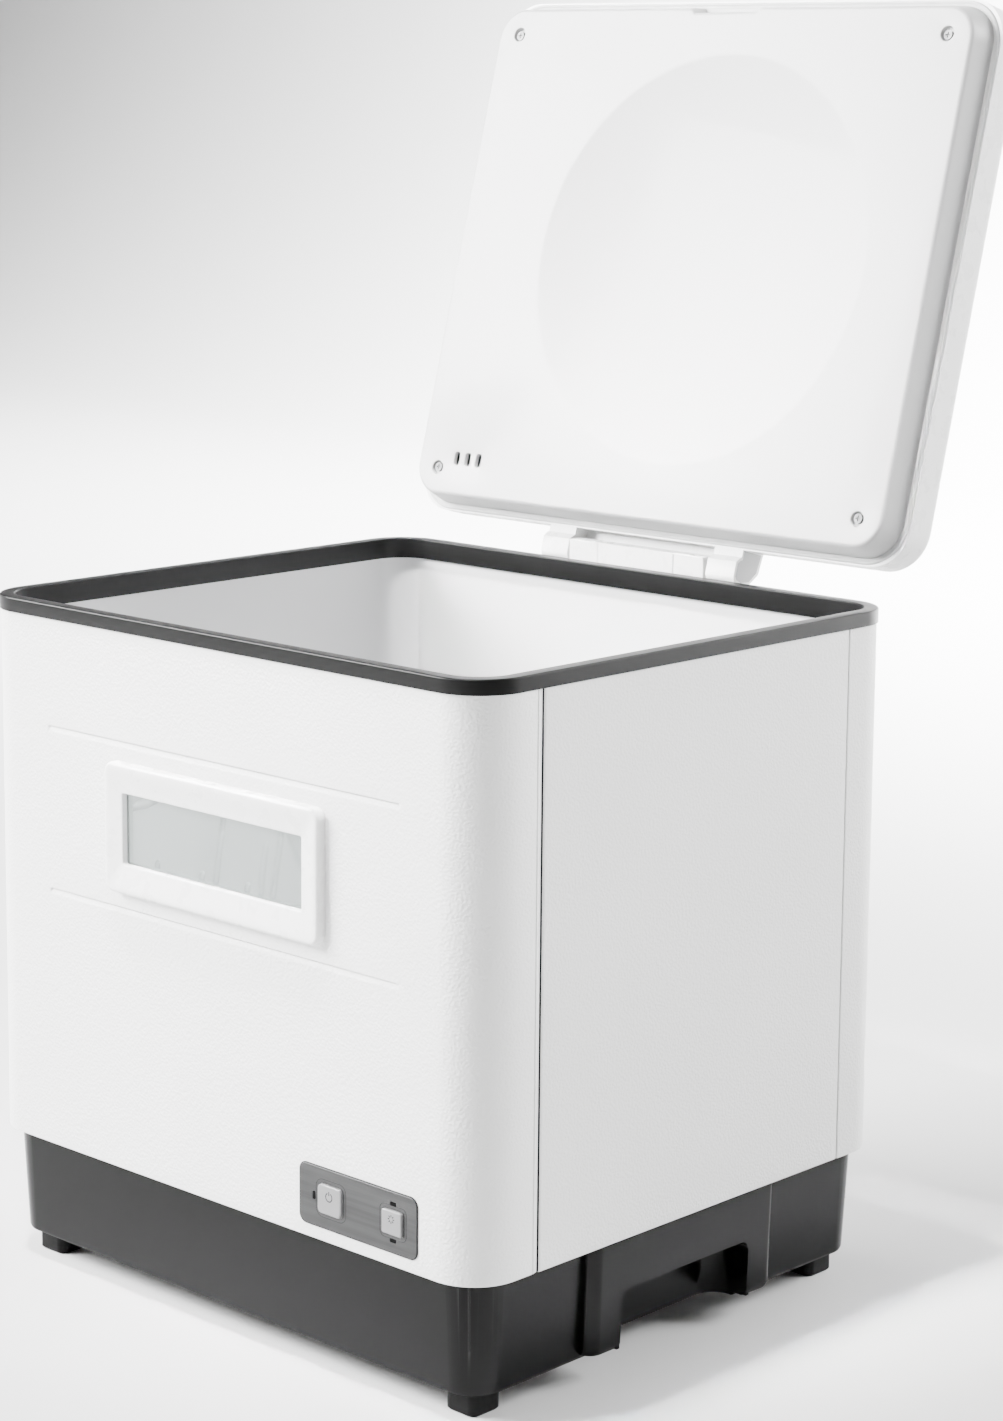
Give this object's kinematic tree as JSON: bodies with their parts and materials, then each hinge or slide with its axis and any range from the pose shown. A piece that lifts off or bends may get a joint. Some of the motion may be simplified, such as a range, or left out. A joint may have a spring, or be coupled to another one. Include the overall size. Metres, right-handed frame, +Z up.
{
  "type": "countertop dishwasher",
  "caption": "White box-shaped countertop dishwasher with a hinged top lid, front window, push buttons, lift-out wire rack and spray arm.",
  "frame": {"origin": "on the floor, under the middle of the outer box of the machine with its lid open", "axes": "+Z up, front face with the window towards -Y, +X to the right of somebody who faces the front"},
  "size_m": [0.422, 0.4932, 0.7768],
  "materials": {
    "white_paint": "fine leather-grain white paint",
    "white_plastic": "smooth white moulding",
    "tub_grey": "smooth pale grey moulding",
    "rim_black": "satin black",
    "base_black": "semi-gloss black",
    "foot_rubber": "dark grey rubber",
    "seal_grey": "light grey soft seal",
    "window_glass": "clear, slightly dark",
    "plate_metal": "brushed along its length",
    "button_grey": "satin light grey",
    "lamp_dark": "dark lens",
    "tray_dark": "plain dark plastic",
    "board_green": "circuit board",
    "steel": "plain steel",
    "pump_grey": "dark grey moulding",
    "motor_grey": "painted steel",
    "hose_black": "black hose",
    "arm_grey": "pale grey moulding",
    "wire_grey": "coated wire",
    "sensor_cream": "cream plastic"
  },
  "bodies": {
    "housing": {"base_pan": "base_black", "foot_front_left": "foot_rubber", "foot_front_right": "foot_rubber", "foot_rear_left": "foot_rubber", "foot_rear_right": "foot_rubber", "front_shell": "white_paint", "side_panel_left": "white_paint", "side_panel_right": "white_paint", "rear_shell": "white_paint", "rear_screws": "steel", "tub_rim": "rim_black", "tub": "tub_grey", "window_frame": "white_plastic", "window_glass": "window_glass", "window_seal": "seal_grey", "control_plate": "plate_metal", "indicator_lenses": "lamp_dark", "control_tray": "tray_dark", "control_board": "board_green", "hinge_bracket": "white_plastic", "hinge_block_left": "white_plastic", "hinge_block_right": "white_plastic", "hinge_pin": "steel", "sump": "pump_grey", "spray_post": "arm_grey", "spray_nut": "pump_grey", "pump_housing": "pump_grey", "pump_motor": "motor_grey", "pump_mount": "hose_black", "heater": "steel", "thermostat": "sensor_cream", "suction_hose": "hose_black", "pump_hose": "hose_black", "feed_hose": "hose_black", "drain_pump": "pump_grey", "drain_inlet_hose": "hose_black", "drain_hose": "hose_black", "drain_outlet": "tray_dark", "power_board": "board_green", "cord_gland": "tray_dark"},
    "lid": {"lid_shell": "white_plastic", "lid_liner": "white_plastic", "lid_seal": "seal_grey", "lid_screws": "steel"},
    "power_key": {"power_button": "button_grey"},
    "start_key": {"start_button": "button_grey"},
    "arm": {"spray_arm": "arm_grey"},
    "rotor": {"pump_rotor": "arm_grey"},
    "filter": {"filter_basket": "arm_grey"},
    "rack": {"rack_base": "wire_grey", "rack_feet": "arm_grey", "rack_rail": "wire_grey", "rack_uprights": "wire_grey", "rack_row_1": "wire_grey", "rack_row_2": "wire_grey", "rack_row_3": "wire_grey", "rack_row_4": "wire_grey", "rack_row_5": "wire_grey", "rack_row_6": "wire_grey"}
  },
  "joints": [
    {"name": "lid_hinge", "type": "hinge", "parent": "housing", "child": "lid", "pos_m": [0, 0.13077, 0.421], "axis": [-1, 0, 0], "range_deg": [-105, 0]},
    {"name": "power_press", "type": "slide", "parent": "housing", "child": "power_key", "axis": [0, 1, 0], "range_m": [0, 0.0012], "stiffness_N_per_m": 400, "springref_m": -0.001},
    {"name": "start_press", "type": "slide", "parent": "housing", "child": "start_key", "axis": [0, 1, 0], "range_m": [0, 0.0012], "stiffness_N_per_m": 400, "springref_m": -0.001},
    {"name": "arm_spin", "type": "hinge", "parent": "housing", "child": "arm", "pos_m": [0, -0.05993, 0.151], "axis": [0, 0, 1], "continuous": true},
    {"name": "rotor_spin", "type": "hinge", "parent": "housing", "child": "rotor", "pos_m": [0.03, -0.16393, 0.092], "axis": [1, 0, 0], "continuous": true},
    {"name": "filter_lift", "type": "slide", "parent": "housing", "child": "filter", "axis": [0, 0, 1], "range_m": [0, 0.03]},
    {"name": "rack_lift", "type": "slide", "parent": "housing", "child": "rack", "axis": [0, 0, 1], "range_m": [0, 0.38]}
  ]
}
